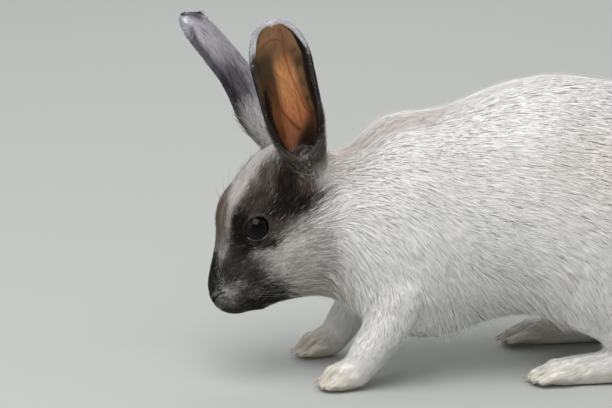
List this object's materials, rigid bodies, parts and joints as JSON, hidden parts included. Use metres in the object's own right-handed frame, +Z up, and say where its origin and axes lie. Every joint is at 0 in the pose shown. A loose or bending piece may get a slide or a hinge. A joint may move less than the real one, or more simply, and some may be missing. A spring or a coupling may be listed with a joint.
{
  "type": "rabbit figure",
  "caption": "Life-size still model of a domestic rabbit grazing, head lowered and ears up, with a white and grey coat.",
  "frame": {"origin": "on the floor, under the centre of the box round the whole rabbit", "axes": "+Z up, +X towards the tail with the nose towards -X, +Y towards the rabbit's right side"},
  "size_m": [0.3472, 0.1266, 0.2315],
  "materials": {
    "body_coat": "soft fur, matt",
    "face_coat": "short fur, matt",
    "ear_coat": "short fur, matt, with bare pink skin inside",
    "claw_horn": "satin horn",
    "eye": "wet gloss"
  },
  "bodies": {
    "root": {"ear_left": "ear_coat", "ear_right": "ear_coat", "eye_left": "eye", "eye_right": "eye", "fore_foot_left": "body_coat", "fore_foot_left_claw_1": "claw_horn", "fore_foot_left_claw_2": "claw_horn", "fore_foot_left_claw_3": "claw_horn", "fore_foot_left_claw_4": "claw_horn", "fore_foot_left_claw_5": "claw_horn", "fore_foot_right": "body_coat", "fore_foot_right_claw_1": "claw_horn", "fore_foot_right_claw_2": "claw_horn", "fore_foot_right_claw_3": "claw_horn", "fore_foot_right_claw_4": "claw_horn", "fore_foot_right_claw_5": "claw_horn", "forearm_left": "body_coat", "forearm_right": "body_coat", "head": "face_coat", "hind_foot_left": "body_coat", "hind_foot_left_claw_1": "claw_horn", "hind_foot_left_claw_2": "claw_horn", "hind_foot_left_claw_3": "claw_horn", "hind_foot_left_claw_4": "claw_horn", "hind_foot_right": "body_coat", "hind_foot_right_claw_1": "claw_horn", "hind_foot_right_claw_2": "claw_horn", "hind_foot_right_claw_3": "claw_horn", "hind_foot_right_claw_4": "claw_horn", "lower_jaw": "face_coat", "neck": "body_coat", "shank_left": "body_coat", "shank_right": "body_coat", "tail": "body_coat", "thigh_left": "body_coat", "thigh_right": "body_coat", "trunk": "body_coat", "upper_arm_left": "body_coat", "upper_arm_right": "body_coat"}
  },
  "joints": []
}
